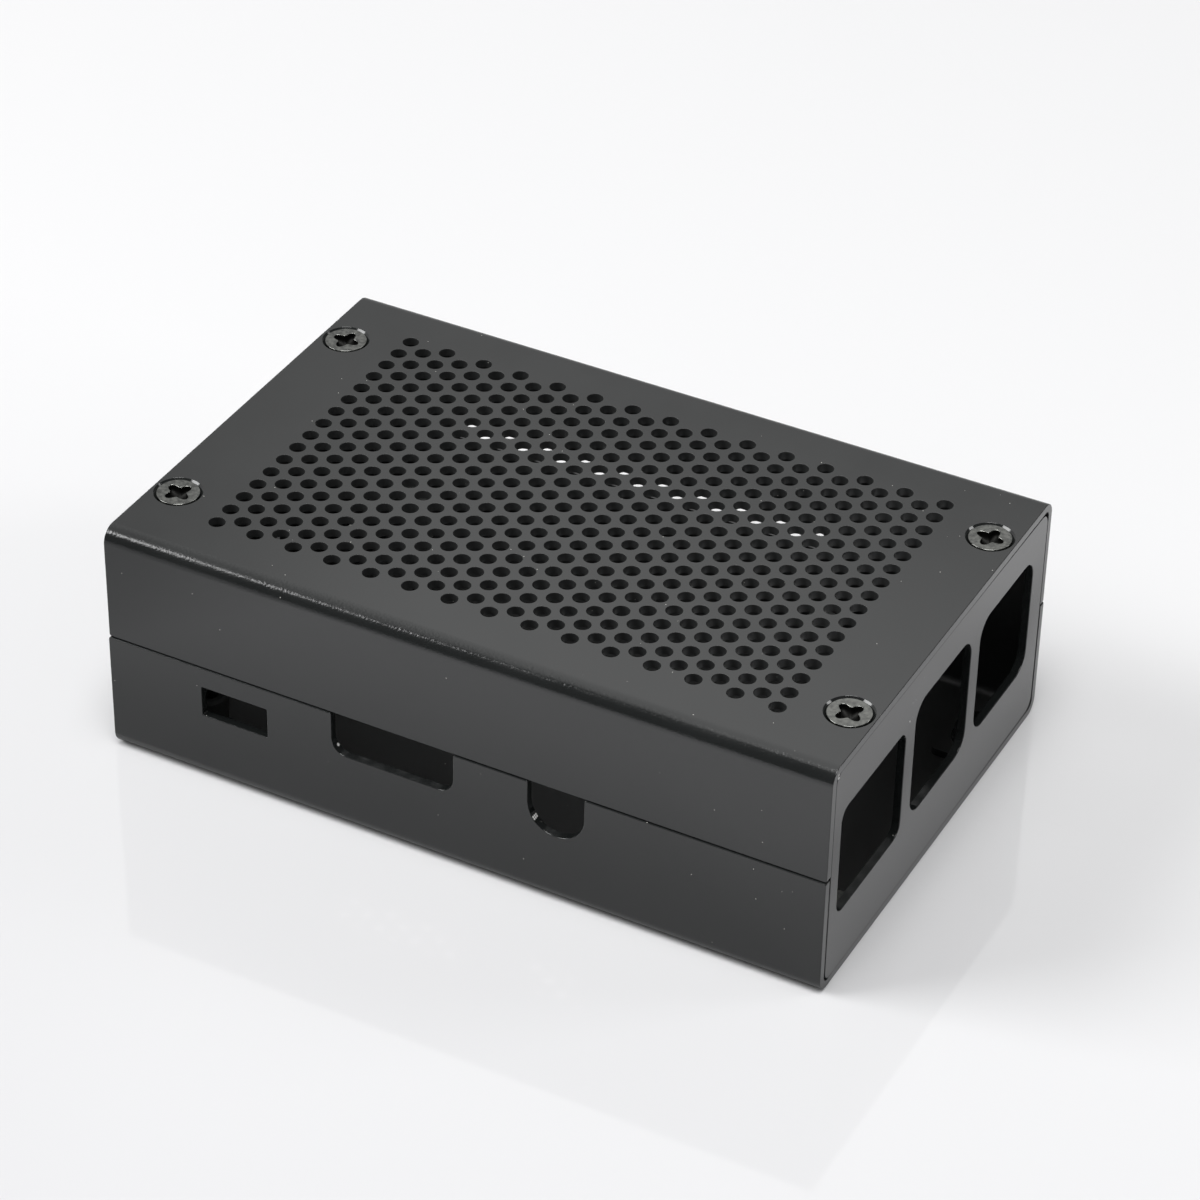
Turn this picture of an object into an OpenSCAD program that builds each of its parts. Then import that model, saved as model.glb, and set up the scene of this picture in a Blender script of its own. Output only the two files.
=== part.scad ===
// Case for a common 85 x 56 mm single-board computer.
// Two folded aluminium sheets, a perforated cover over a tray, close on two end plates.
// Origin: centre of the underside. +X runs along the case to the port end, +Y to the back, +Z up.

/* [Case] */
// Length over the two end plates
case_length = 94; // [93:0.5:120]
// Width over the sides of the tray
case_width = 61; // [58.5:0.1:80]
// Height from the underside to the top of the cover
case_height = 31.4; // [31:0.1:45]
// Thickness of the aluminium sheet
sheet = 1; // [0.8:0.05:1.1]
// Outside radius of the long folds
fold_radius = 2; // [1.5:0.1:2.6]
// Height of the tray's sides, where the seam runs
seam_height = 16.2; // [15:0.1:18]
// Gap along the seam between the tray and the cover
seam_gap = 0.05; // [0.05:0.05:0.3]
// How far each side of the cover stands in from the tray's side
cover_inset = 0.2; // [0:0.05:0.4]

/* [Grille] */
// Diameter of a grille hole
grille_hole_d = 2; // [1.4:0.1:2.4]
// Distance between neighbouring holes in the staggered pattern
grille_pitch = 3; // [2.8:0.1:6]
// Least distance from an end of the case to the first row of hole centres
grille_end_margin = 10.5; // [9:0.5:30]
// Least distance from a side of the case to the first line of hole centres
grille_side_margin = 7.9; // [6:0.1:20]
// How far the middle of the grille lies behind the middle of the case
grille_set_back = 0.2; // [-1:0.1:1]

/* [Screws] */
// Thread diameter of the case screws
screw_d = 3; // [2.5:0.1:3.2]
// Length of a screw, head included
screw_length = 5; // [4:0.5:6]
// Diameter of the countersunk head
head_d = 5.2; // [5:0.1:5.8]
// Depth of the head's face below the surface of the sheet
head_sunk = 0.05; // [0:0.05:0.3]
// Diameter of the countersink at the surface of the sheet
sink_d = 5.95; // [5.85:0.05:6.4]
// Distance from an end of the case to the screw axes
screw_end_inset = 3.3; // [3.2:0.1:4]
// Distance from a side of the case to the screw axes
screw_side_inset = 11.25; // [10:0.25:14]
// Length across the cross recess
recess_span = 3.5; // [2.4:0.1:3.6]
// Width of one arm of the cross recess
recess_arm = 0.8; // [0.5:0.05:1]
// Depth of the arms of the cross recess
recess_arm_depth = 0.6; // [0.4:0.1:0.9]
// Diameter of the cone in the middle of the cross recess
recess_cone_d = 2.1; // [1.6:0.1:2.4]
// Depth of the cone in the middle of the cross recess
recess_depth = 1.2; // [0.8:0.1:1.6]

/* [End plates] */
// Gap between an end plate and the sides of the cover
plate_gap = 0.1; // [0.05:0.05:0.3]
// How much larger an end plate's corner radius is than the inside of the fold
plate_corner_ease = 0.3; // [0.1:0.1:1]
// Width of a screw tab along the plate
tab_width = 9; // [7.5:0.5:12]
// Length of a screw tab from the outer face of its plate
tab_length = 7; // [6.5:0.5:9]
// Outside diameter of the threaded collar drawn from a tab
collar_d = 4.6; // [4.2:0.1:5.5]
// Height of the threaded collar on its tab
collar_height = 1.6; // [0.8:0.1:2]

/* [Board] */
// Thickness of the board
board_thickness = 1.4; // [1:0.1:1.6]
// Distance from the card end of the case to the board
board_end_inset = 6.7; // [5:0.1:8]
// Distance from the front of the case to the board
board_front_inset = 1.55; // [1.4:0.05:4]
// Distance from the back of the case to the board
board_back_inset = 3.45; // [2:0.05:6]
// Distance from the board's edges to its hole centres
board_hole_inset = 3.5; // [3.5:0.1:5]
// Hole spacing along the board
board_hole_x = 58; // [50:0.5:76]

/* [Standoffs] */
// Height of a standoff above the floor
standoff_height = 7.5; // [6:0.1:8.5]
// Diameter of a standoff
standoff_d = 5; // [4.4:0.1:6]
// Diameter of the spigot pressed into the floor
spigot_d = 3.8; // [3.2:0.1:4]
// Thread diameter of the standoffs
standoff_thread_d = 2.5; // [2:0.1:3]
// Depth of the thread
standoff_thread_depth = 6; // [4:0.5:6]

/* [Front openings] */
// Micro power socket: centre from the board's card end
power_x = 10.6; // [9:0.1:14]
// Width of the power window
power_width = 9; // [7:0.1:10]
// Height of the power window
power_height = 4.1; // [3:0.1:5]
// Sill of the power window below the board's top face
power_drop = 0.55; // [0:0.05:1]
// Display socket: centre from the board's card end
display_x = 32; // [30:0.1:36]
// Width of the display slot
display_width = 16.2; // [14:0.1:18]
// Sill of the display slot above the board's top face
display_rise = 0.65; // [0:0.05:1.5]
// Corner radius at the sill of the display slot
display_corner = 2; // [0.5:0.1:2.5]
// Sound socket: centre from the board's card end
sound_x = 53.5; // [50:0.1:58]
// Width of the round-bottomed sound slot
sound_width = 7.3; // [6:0.1:9]
// Axis of the sound socket above the board's top face
sound_rise = 3.35; // [2.5:0.05:4.5]

/* [End openings] */
// Network socket: centre from the board's front edge
network_y = 10.25; // [9.5:0.05:11]
// Width of the network opening
network_width = 16.9; // [15:0.1:17.4]
// Height of the network opening
network_height = 14.85; // [13:0.05:15.5]
// Sill of the network opening below the board's top face
network_drop = 0.7; // [0:0.05:1.5]
// Corner radius of the network opening
network_corner = 1.6; // [0.5:0.1:3]
// First pair of serial sockets: centre from the board's front edge
serial_y = 29; // [28.8:0.05:29.6]
// Spacing of the two pairs of serial sockets
serial_spacing = 18; // [17.5:0.1:19]
// Width of a serial opening
serial_width = 15.5; // [13.5:0.1:16]
// Height of a serial opening
serial_height = 16.1; // [14:0.1:16.5]
// Sill of the serial openings below the board's top face
serial_drop = 0.4; // [0:0.05:1]
// Corner radius of a serial opening
serial_corner = 2.6; // [0.5:0.1:4]
// Width of the memory card slot
card_width = 14; // [12:0.5:20]
// Height of the memory card slot
card_height = 5; // [3:0.1:6]
// Top of the card slot above the board's underside
card_rise = 1; // [0:0.1:2]
// Corner radius of the card slot
card_corner = 1; // [0.3:0.1:1.4]

/* [Ribbon slot] */
// Centre of the pin header from the board's card end
ribbon_x = 32.5; // [30:0.1:36]
// Length of the slot for a ribbon cable in the back
ribbon_length = 52; // [30:0.5:56]
// How deep the slot is cut into the tray's back side
ribbon_tray_depth = 2; // [1:0.1:4]
// How deep the slot is cut into the cover's back side
ribbon_cover_depth = 0.6; // [0.5:0.1:4]

/* [Hidden] */

// Facets of a drawn circle
$fn = 48;
// How far a cutter runs past the face that it cuts
past = 1;
// Clearance between a head and its countersink, level with the surface
head_seat = 0.03;
// Clearance round a thread and round a pressed spigot
thread_gap = 0.05;

// Places taken from the case
end_x = case_length / 2;
side_y = case_width / 2;
cover_width = case_width - 2 * cover_inset;
cover_side_height = case_height - seam_height - seam_gap;
fold_inside = fold_radius - sheet;
screw_x = end_x - screw_end_inset;
screw_y = side_y - screw_side_inset;

// Upright edge of a head, turned off the cone that seats in the countersink, and how deep the head then lies
head_slack = (sink_d - head_d) / 2 - head_seat;
head_land = max(0, head_slack - head_sunk);
head_recess = head_slack - head_land;

// Places taken from the board
board_x = -end_x + board_end_inset;
board_y = -side_y + board_front_inset;
board_width = case_width - board_front_inset - board_back_inset;
board_hole_y = board_width - 2 * board_hole_inset;
board_under_z = sheet + standoff_height;
board_top_z = board_under_z + board_thickness;

// Grille counts
column_step = grille_pitch * sqrt(3) / 2;
columns = floor((case_length - 2 * grille_end_margin) / column_step) + 1;
rows = floor((case_width - 2 * grille_side_margin) / grille_pitch) + 1;

// End plate outline
plate_width = cover_width - 2 * sheet - 2 * plate_gap;
plate_height = case_height - 2 * sheet;
plate_corner = fold_inside + plate_corner_ease;

// Rectangle with all four corners rounded, its lower left corner at the origin
module rounded_rectangle(width, height, radius) {
    translate([radius, 0]) square([width - 2 * radius, height]);
    translate([0, radius]) square([width, height - 2 * radius]);
    for (x = [radius, width - radius], y = [radius, height - radius])
        translate([x, y]) circle(r = radius);
}

// Upright slot of any height with its two lower corners rounded, its sill centred on the origin
module rounded_sill(width, height, radius) {
    translate([-width / 2, radius]) square([width, height - radius]);
    translate([-width / 2 + radius, 0]) square([width - 2 * radius, radius]);
    for (side = [-1, 1])
        translate([side * (width / 2 - radius), radius]) circle(r = radius);
}

// Upright slot of any height with a half round bottom, the bottom's centre on the origin
module round_bottomed_slot(width, height) {
    circle(d = width);
    translate([-width / 2, 0]) square([width, height]);
}

// Section of a sheet folded up along both long sides
module folded_section(width, side_height) {
    difference() {
        rounded_sill(width, side_height, fold_radius);
        translate([0, sheet]) rounded_sill(width - 2 * sheet, side_height, fold_inside);
    }
}

// Sheet folded up along both long sides, its floor on the ground
module folded_sheet(width, side_height) {
    rotate([90, 0, 90])
        linear_extrude(height = case_length, center = true)
            folded_section(width, side_height);
}

// Carries its children to the four screw axes
module at_screws() {
    for (sx = [-1, 1], sy = [-1, 1])
        translate([sx * screw_x, sy * screw_y, 0]) children();
}

// Turns what is drawn on the underside over to the top
module on_top() {
    translate([0, 0, case_height]) mirror([0, 0, 1]) children();
}

// Ninety degree countersink rising from the underside, with the thread's hole above it
module countersink_cut(depth) {
    hole_r = screw_d / 2;
    cone_height = sink_d / 2 - hole_r;
    translate([0, 0, -past]) cylinder(h = past, d = sink_d);
    cylinder(h = cone_height, r1 = sink_d / 2, r2 = hole_r);
    cylinder(h = depth + past, r = hole_r);
}

// Staggered field of round holes
module grille_cut() {
    for (column = [0 : columns - 1]) {
        odd = column % 2;
        x = (column - (columns - 1) / 2) * column_step;
        for (row = [0 : rows - 1 - odd])
            translate([x, (row + odd / 2 - (rows - 1) / 2) * grille_pitch + grille_set_back])
                circle(d = grille_hole_d);
    }
}

// Notch for a ribbon cable, cut from the free edge of a back side
module ribbon_cut(from_z, to_z) {
    translate([board_x + ribbon_x - ribbon_length / 2, side_y - fold_radius - past, from_z])
        cube([ribbon_length, fold_radius + 2 * past, to_z - from_z]);
}

// Cuts an outline, drawn with x and height, through the front side of the tray
module front_cut() {
    translate([0, -side_y + sheet + past, 0])
        rotate([90, 0, 0])
            linear_extrude(height = sheet + 2 * past)
                children();
}

// Cuts an outline, drawn with y and height, through an end plate that starts at x
module end_cut(x) {
    translate([x - past, 0, 0])
        rotate([90, 0, 90])
            linear_extrude(height = sheet + 2 * past)
                children();
}

// Folded cover with the grille and four countersunk holes
module top_cover() {
    color("#3b3d3d")
    difference() {
        on_top() folded_sheet(cover_width, cover_side_height);
        translate([0, 0, case_height - sheet - past])
            linear_extrude(height = sheet + 2 * past)
                grille_cut();
        on_top() at_screws() countersink_cut(sheet);
        ribbon_cut(seam_height - past, seam_height + seam_gap + ribbon_cover_depth);
    }
}

// Folded tray with the port openings in front and a ribbon slot at the back
module bottom_tray() {
    color("#353838")
    difference() {
        folded_sheet(case_width, seam_height);
        at_screws() countersink_cut(sheet);
        for (corner = [0 : 3])
            translate(concat(board_hole(corner), -past))
                cylinder(h = sheet + 2 * past, d = spigot_d + 2 * thread_gap);
        front_cut() {
            translate([board_x + power_x - power_width / 2, board_top_z - power_drop])
                square([power_width, power_height]);
            translate([board_x + display_x, board_top_z + display_rise])
                rounded_sill(display_width, seam_height, display_corner);
            translate([board_x + sound_x, board_top_z + sound_rise])
                round_bottomed_slot(sound_width, seam_height);
        }
        ribbon_cut(seam_height - ribbon_tray_depth, seam_height + past);
    }
}

// Screw tab folded in from the lower edge of the plate at the positive end,
// on a cut groove that leaves its outer corner square
module screw_tab() {
    translate([end_x - tab_length, -tab_width / 2, sheet])
        cube([tab_length, tab_width, sheet]);
    translate([screw_x, 0, 2 * sheet])
        cylinder(h = collar_height, d = collar_d);
}

// End plate at the positive end with four threaded tabs and no openings
module blank_end_plate() {
    difference() {
        union() {
            translate([end_x - sheet, -plate_width / 2, sheet])
                rotate([90, 0, 90])
                    linear_extrude(height = sheet)
                        rounded_rectangle(plate_width, plate_height, plate_corner);
            for (sy = [-1, 1]) translate([0, sy * screw_y, 0]) {
                screw_tab();
                on_top() screw_tab();
            }
        }
        at_screws() countersink_cut(2 * sheet + collar_height);
        on_top() at_screws() countersink_cut(2 * sheet + collar_height);
    }
}

// End plate at the port end
module port_end_plate() {
    color("#4a4c4c")
    difference() {
        blank_end_plate();
        end_cut(end_x - sheet) {
            translate([board_y + network_y - network_width / 2, board_top_z - network_drop])
                rounded_rectangle(network_width, network_height, network_corner);
            for (pair = [0, 1])
                translate([board_y + serial_y + pair * serial_spacing - serial_width / 2,
                           board_top_z - serial_drop])
                    rounded_rectangle(serial_width, serial_height, serial_corner);
        }
    }
}

// End plate at the card end
module card_end_plate() {
    color("#4a4c4c")
    difference() {
        mirror([1, 0, 0]) blank_end_plate();
        end_cut(-end_x)
            translate([board_y + (board_width - card_width) / 2, board_under_z + card_rise - card_height])
                rounded_rectangle(card_width, card_height, card_corner);
    }
}

// Countersunk cross-recess screw, head down, its head just inside the surface at the origin
module case_screw() {
    shank_r = screw_d / 2 - thread_gap;
    sharp_r = head_d / 2 + head_land;
    translate([0, 0, head_recess])
    difference() {
        union() {
            intersection() {
                cylinder(h = sharp_r - shank_r, r1 = sharp_r, r2 = shank_r);
                cylinder(h = screw_length, d = head_d);
            }
            cylinder(h = screw_length, r = shank_r);
        }
        for (turn = [45, 135])
            rotate(turn)
                translate([-recess_span / 2, -recess_arm / 2, -past])
                    cube([recess_span, recess_arm, recess_arm_depth + past]);
        cylinder(h = recess_depth, d1 = recess_cone_d, d2 = recess_arm);
    }
}

// The four screws of the cover
module cover_screws() {
    color("#8a8a86") on_top() at_screws() case_screw();
}

// The four screws of the tray
module tray_screws() {
    color("#8a8a86") at_screws() case_screw();
}

// Place of one of the board's four holes: bit 0 steps along the board, bit 1 across it
function board_hole(corner) = [
    board_x + board_hole_inset + (corner % 2) * board_hole_x,
    board_y + board_hole_inset + floor(corner / 2) * board_hole_y
];

// Threaded standoff pressed into the floor
module standoff(corner) {
    color("#5d5f5e")
    translate(concat(board_hole(corner), 0))
    difference() {
        union() {
            cylinder(h = sheet, d = spigot_d);
            translate([0, 0, sheet]) cylinder(h = standoff_height, d = standoff_d);
        }
        translate([0, 0, board_under_z - standoff_thread_depth])
            cylinder(h = standoff_thread_depth + past, d = standoff_thread_d);
    }
}

top_cover();
bottom_tray();
port_end_plate();
card_end_plate();
cover_screws();
tray_screws();
standoff(0);  // standoff_front_left
standoff(1);  // standoff_front_right
standoff(2);  // standoff_back_left
standoff(3);  // standoff_back_right
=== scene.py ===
"""Single-board computer case: folded black aluminium sheets, end plates, screws and standoffs.

Every new piece is worked out in millimetres from flat outlines, profiles carried round them and a place
that carries flat points into space, and is put into a mesh in metres. Origin: centre of the underside,
+Z up.
"""

import math

import bpy
import numpy as np
from mathutils import Matrix, Vector
from mathutils.geometry import delaunay_2d_cdt


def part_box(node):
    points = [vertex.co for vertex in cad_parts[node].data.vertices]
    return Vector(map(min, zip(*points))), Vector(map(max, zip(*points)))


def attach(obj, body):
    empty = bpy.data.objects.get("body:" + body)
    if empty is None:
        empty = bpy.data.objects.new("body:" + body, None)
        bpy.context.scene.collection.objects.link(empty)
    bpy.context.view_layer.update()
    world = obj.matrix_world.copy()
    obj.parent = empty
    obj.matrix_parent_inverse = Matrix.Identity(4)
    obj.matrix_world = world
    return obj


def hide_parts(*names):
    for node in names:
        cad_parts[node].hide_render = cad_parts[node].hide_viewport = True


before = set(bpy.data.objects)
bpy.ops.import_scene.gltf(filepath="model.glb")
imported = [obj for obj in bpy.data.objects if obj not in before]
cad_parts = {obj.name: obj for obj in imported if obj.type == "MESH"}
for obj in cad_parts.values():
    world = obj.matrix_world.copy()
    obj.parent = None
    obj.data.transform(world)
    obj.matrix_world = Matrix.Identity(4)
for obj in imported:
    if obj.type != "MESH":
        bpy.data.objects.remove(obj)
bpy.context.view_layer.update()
MM = 0.001
RIGHT_ANGLE = math.pi / 2


def box_mm(node):
    """Lowest and highest corner of a CAD node, in millimetres."""
    low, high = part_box(node)
    return np.array(low) / MM, np.array(high) / MM


# Sizes taken from the frame
TRAY_LOW, TRAY_HIGH = box_mm("bottom_tray")
COVER_LOW, COVER_HIGH = box_mm("top_cover")
PLATE_LOW, PLATE_HIGH = box_mm("port_end_plate")
COVER_SCREWS_HIGH = box_mm("cover_screws")[1]
TRAY_SCREWS_LOW = box_mm("tray_screws")[0]
END_X = TRAY_HIGH[0]
SIDE_Y = TRAY_HIGH[1]
TOP_Z = COVER_HIGH[2]
SEAM_Z = TRAY_HIGH[2]

# Sheets, in millimetres
SHEET = 1.0
FOLD_RADIUS = 2.0
EDGE_ROUND = 0.1
HOLE_ROUND = 0.06
FREE_CORNER = 0.3
SEAM_CORNER = 0.2
WINDOW_CORNER = 0.15
FOLD_STEPS = 10
CORNER_STEPS = 6
# Lengths under this count as none
TINY = 1e-6
# Marks of worked metal: a fold or a pressed recess, and a punched wall or an inner face
FOLDED = 1.0
MATT = -1.0

# Grille
HOLE_D = 2.0
HOLE_PITCH = 3.0
HOLE_SIDES = 20
HOLE_DRAW = 0.1
COLUMNS = 29
ROWS = 16
GRILLE_SET_BACK = 0.2

# Screws and the holes that they sit in
SCREW_D = 3.0
HEAD_D = 5.2
SINK_D = 5.95
ROUND_SIDES = 48
SCREW_X = COVER_SCREWS_HIGH[0] - HEAD_D / 2
SCREW_Y = COVER_SCREWS_HIGH[1] - HEAD_D / 2
THREAD_GAP = 0.05
THREAD_PITCH = 0.5
THREAD_DEPTH = 0.27
THREAD_ROWS = 8

# Board places
BOARD_END = -END_X + 6.7
BOARD_FRONT = -SIDE_Y + 1.55
BOARD_TOP = 9.9
BOARD_UNDER = 8.5


# Meshes

def outward(points, normals, faces):
    """Turns over the faces that look against their normals: the sign of the cross product of a quad's
    diagonals, or of two sides of a triangle."""
    a, b, c = points[faces[:, 0]], points[faces[:, 1]], points[faces[:, 2]]
    d = points[faces[:, -1]]
    looks = np.cross(c - a, d - b) if faces.shape[1] == 4 else np.cross(b - a, c - a)
    against = (looks * normals[faces].mean(1)).sum(1) < 0
    return points, normals, np.where(against[:, None], faces[:, ::-1], faces)


def grid_patch(points, normals):
    """Quads over a closed grid of points, whose last column joins its first."""
    rows, columns = points.shape[:2]
    left = np.arange(rows * columns).reshape(rows, columns)
    right = np.roll(left, -1, 1)
    quads = np.stack([left[:-1], right[:-1], right[1:], left[1:]], -1).reshape(-1, 4)
    return outward(points.reshape(-1, 3), normals.reshape(-1, 3), quads)


def grid_normals(points):
    """Unit normals of a closed grid: the cross product of its differences along and across."""
    along = np.gradient(points, axis=0)
    across = np.roll(points, -1, 1) - np.roll(points, 1, 1)
    normals = np.cross(along, across)
    return normals / np.linalg.norm(normals, axis=-1, keepdims=True)


def flat_patch(outline, openings, place, rise, lift):
    """Triangles over a flat outline less its openings, at one height, looking up where lift is 1."""
    loops = [outline, *openings]
    flat = np.concatenate(loops)
    ends = np.cumsum([len(loop) for loop in loops])
    rings = [list(range(end - len(loop), end)) for loop, end in zip(loops, ends)]
    inside_less_holes = 2
    corners = [Vector(point) for point in flat]
    _, _, faces, sources, _, _ = delaunay_2d_cdt(corners, [], rings, inside_less_holes, TINY)
    first_source = np.array([source[0] for source in sources])
    triangles = first_source[np.array(faces)]
    level = np.zeros(len(flat))
    points, normals = place(flat, level + rise, np.zeros_like(flat), level + lift)
    return outward(points, normals, triangles)


def worked(patches, mark):
    """Marks patches as worked metal: FOLDED is a fold or a pressed recess, MATT the wall of a punched hole
    or an inner face, and 0 a rolled, cut or turned face."""
    return [(*patch[:3], mark) for patch in patches]


def piece(name, patches, material, slot, *nodes):
    """One object from patches, welded where their points meet, each patch keeping its own normals. Patches
    that aren't marked as worked are rolled, cut or turned faces."""
    marks = [np.full(len(patch[2]), patch[3] if len(patch) > 3 else 0.0) for patch in patches]
    patches = [patch[:3] for patch in patches]
    starts = np.cumsum([0] + [len(points) for points, _, _ in patches])
    points = np.concatenate([points for points, _, _ in patches])
    weld_digits = 4
    rounded = np.round(points, weld_digits)
    _, kept, welded = np.unique(rounded, axis=0, return_index=True, return_inverse=True)
    welded = welded.reshape(-1)
    faces = [face for start, (_, _, f) in zip(starts, patches) for face in welded[f + start].tolist()]
    corner_normals = np.concatenate([normals[f].reshape(-1, 3) for _, normals, f in patches])
    mesh = bpy.data.meshes.new(name)
    mesh.from_pydata(points[kept] * MM, [], faces, shade_flat=False)
    mesh.normals_split_custom_set(corner_normals)
    attribute = mesh.attributes.new("worked", "FLOAT", "FACE")
    attribute.data.foreach_set("value", np.concatenate(marks).astype(np.float32))
    mesh.materials.append(material)
    made = bpy.data.objects.new(name, mesh)
    bpy.context.scene.collection.objects.link(made)
    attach(made, "root")
    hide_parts(*nodes)


# Outlines: points and normals, with the material to the left of the way round

def rounded_outline(corners, radii):
    """A polygon whose corners are arcs: each starts and ends the tangent length, radius times the tangent
    of half the turn, from its corner, and its normal turns evenly from one side's to the next's."""
    corners = np.array(corners, float)
    way = np.roll(corners, -1, 0) - corners
    way /= np.linalg.norm(way, axis=1, keepdims=True)
    came = np.roll(way, 1, 0)
    turn = np.arctan2(came[:, 0] * way[:, 1] - came[:, 1] * way[:, 0], (came * way).sum(1))
    radii = np.broadcast_to(np.array(radii, float), turn.shape)
    start = corners - came * (radii * np.tan(np.abs(turn) / 2))[:, None]
    share = np.linspace(0, 1, CORNER_STEPS + 1)
    heading = np.arctan2(came[:, 1], came[:, 0])[:, None] + turn[:, None] * share
    normals = np.stack([np.sin(heading), -np.cos(heading)], -1)
    bulge = (np.sign(turn) * radii)[:, None, None]
    points = start[:, None] + bulge * (normals - normals[:, :1])
    points, normals = points.reshape(-1, 2), normals.reshape(-1, 2)
    new = np.linalg.norm(points - np.roll(points, 1, 0), axis=1) > TINY
    return points[new], normals[new]


def rectangle(low_x, high_x, low_y, high_y):
    """Corners of a rectangle, anticlockwise."""
    return [(low_x, low_y), (high_x, low_y), (high_x, high_y), (low_x, high_y)]


def opening(corners, radii):
    """An outline to be cut out: its corners are taken backwards, so its normals look into it."""
    return rounded_outline(corners[::-1], radii)


def spokes(count):
    """Unit vectors at even angles, anticlockwise."""
    angle = np.arange(count) * 2 * math.pi / count
    return np.stack([np.cos(angle), np.sin(angle)], 1)


def round_opening(centre, radius, count=ROUND_SIDES):
    """A circle to be cut out, clockwise, its normals looking at its centre."""
    spoke = spokes(count)[::-1]
    return np.array(centre) + radius * spoke, -spoke


# Profiles: rows of distance into the opening, rise, and the normal's share of each

def straight(start, end):
    """A line from start to end, whose surface looks to the left of that way."""
    ends = np.array([start, end], float)
    way = (ends[1] - ends[0]) / np.linalg.norm(ends[1] - ends[0])
    return np.concatenate([ends, np.tile([-way[1], way[0]], (2, 1))], 1)


def arc(centre, radius, from_degrees, to_degrees, steps=2):
    """An arc about a centre; a clockwise one is a rounding and looks outwards, and the other way it is a
    fillet and looks inwards."""
    angle = np.radians(np.linspace(from_degrees, to_degrees, steps + 1))
    spoke = np.stack([np.cos(angle), np.sin(angle)], 1)
    looks = spoke if to_degrees < from_degrees else -spoke
    return np.concatenate([np.array(centre) + radius * spoke, looks], 1)


def cut_edge():
    """The cut edge of a sheet: a small quarter round from the outer face into a straight wall."""
    return [arc((-EDGE_ROUND, -EDGE_ROUND), EDGE_ROUND, 90, 0),
            straight((0, -EDGE_ROUND), (0, -SHEET))]


def punched_edge():
    """The wall of a punched hole: a small rounding, then a wall that draws in a little."""
    return [arc((-HOLE_ROUND, -HOLE_ROUND), HOLE_ROUND, 90, 0, steps=1),
            straight((0, -HOLE_ROUND), (HOLE_DRAW, -SHEET))]


def countersunk_edge():
    """A ninety degree cone right through the sheet, its rim a little rounded."""
    eased = HOLE_ROUND * math.tan(RIGHT_ANGLE / 4)
    rim = arc((-eased, -HOLE_ROUND), HOLE_ROUND, 90, 45)
    return [rim, straight(rim[-1, :2], (SHEET, -SHEET))]


def loft(points, normals, profile, place):
    """Carries each part of a profile round an outline; a point goes its distance along its normal."""
    patches = []
    for rows in profile:
        out, rise, look_out, look_up = (column[:, None] for column in rows.T)
        flat = points[None] + out[..., None] * normals[None]
        level = np.broadcast_to(rise, flat.shape[:2])
        slope = look_out[..., None] * normals[None]
        patches.append(grid_patch(*place(flat, level, slope, np.broadcast_to(look_up, level.shape))))
    return patches


# Places

def flat_place(origin, across, along, up):
    """Lays flat points on a plane, origin + x across + y along + rise up, and turns normals alike."""
    axes = np.array([across, along, up], float)

    def place(flat, rise, slope, lift):
        local = np.concatenate([flat, rise[..., None]], -1)
        turned = np.concatenate([slope, lift[..., None]], -1)
        return np.array(origin, float) + local @ axes, turned @ axes
    return place


class Fold:
    """A sheet folded along both long sides. A flat point is (x, s), with s the way round the outer face
    from the front's free edge: down the front, round the fold, across the floor, round the other fold and
    up the back."""

    def __init__(self, width, side, base_z, up):
        self.width, self.side, self.base_z, self.up = width, side, base_z, up
        bend = FOLD_RADIUS * RIGHT_ANGLE
        wall, floor = side - FOLD_RADIUS, width - 2 * FOLD_RADIUS
        ends = np.cumsum([wall, bend, floor, bend, wall])
        self.front_end, self.floor_start, self.floor_end, self.back_start, self.total = ends
        first = np.linspace(self.front_end, self.floor_start, FOLD_STEPS + 1)
        second = np.linspace(self.floor_end, self.back_start, FOLD_STEPS + 1)
        self.breaks = np.concatenate([[0], first, second, [self.total]])

    def place(self, flat, rise, slope, lift):
        """The normal turns by s over the fold radius in each fold; y and height add up the straight
        stretches and the two arcs, and a point's rise is laid off along the normal."""
        x, s = flat[..., 0], flat[..., 1]
        first = np.clip((s - self.front_end) / FOLD_RADIUS, 0, RIGHT_ANGLE)
        second = np.clip((s - self.floor_end) / FOLD_RADIUS, 0, RIGHT_ANGLE)
        floor = np.clip(s, self.floor_start, self.floor_end) - self.floor_start
        turned = math.pi + first + second
        look_y, look_h = np.cos(turned), np.sin(turned)
        y = -self.width / 2 + FOLD_RADIUS * (1 - np.cos(first) + np.sin(second)) + floor
        height = self.side - np.minimum(s, self.front_end) + np.maximum(s - self.back_start, 0)
        height += FOLD_RADIUS * (1 - np.sin(first) - np.cos(second))
        y = y + rise * look_y
        height = height + rise * look_h
        normal_y = lift * look_y - slope[..., 1] * look_h
        normal_h = lift * look_h + slope[..., 1] * look_y
        points = np.stack([x, y, self.base_z + self.up * height], -1)
        return points, np.stack([slope[..., 0], normal_y, self.up * normal_h], -1)

    def floor_s(self, y):
        """Way round to a place on the floor."""
        return self.floor_start + y + self.width / 2 - FOLD_RADIUS


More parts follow.
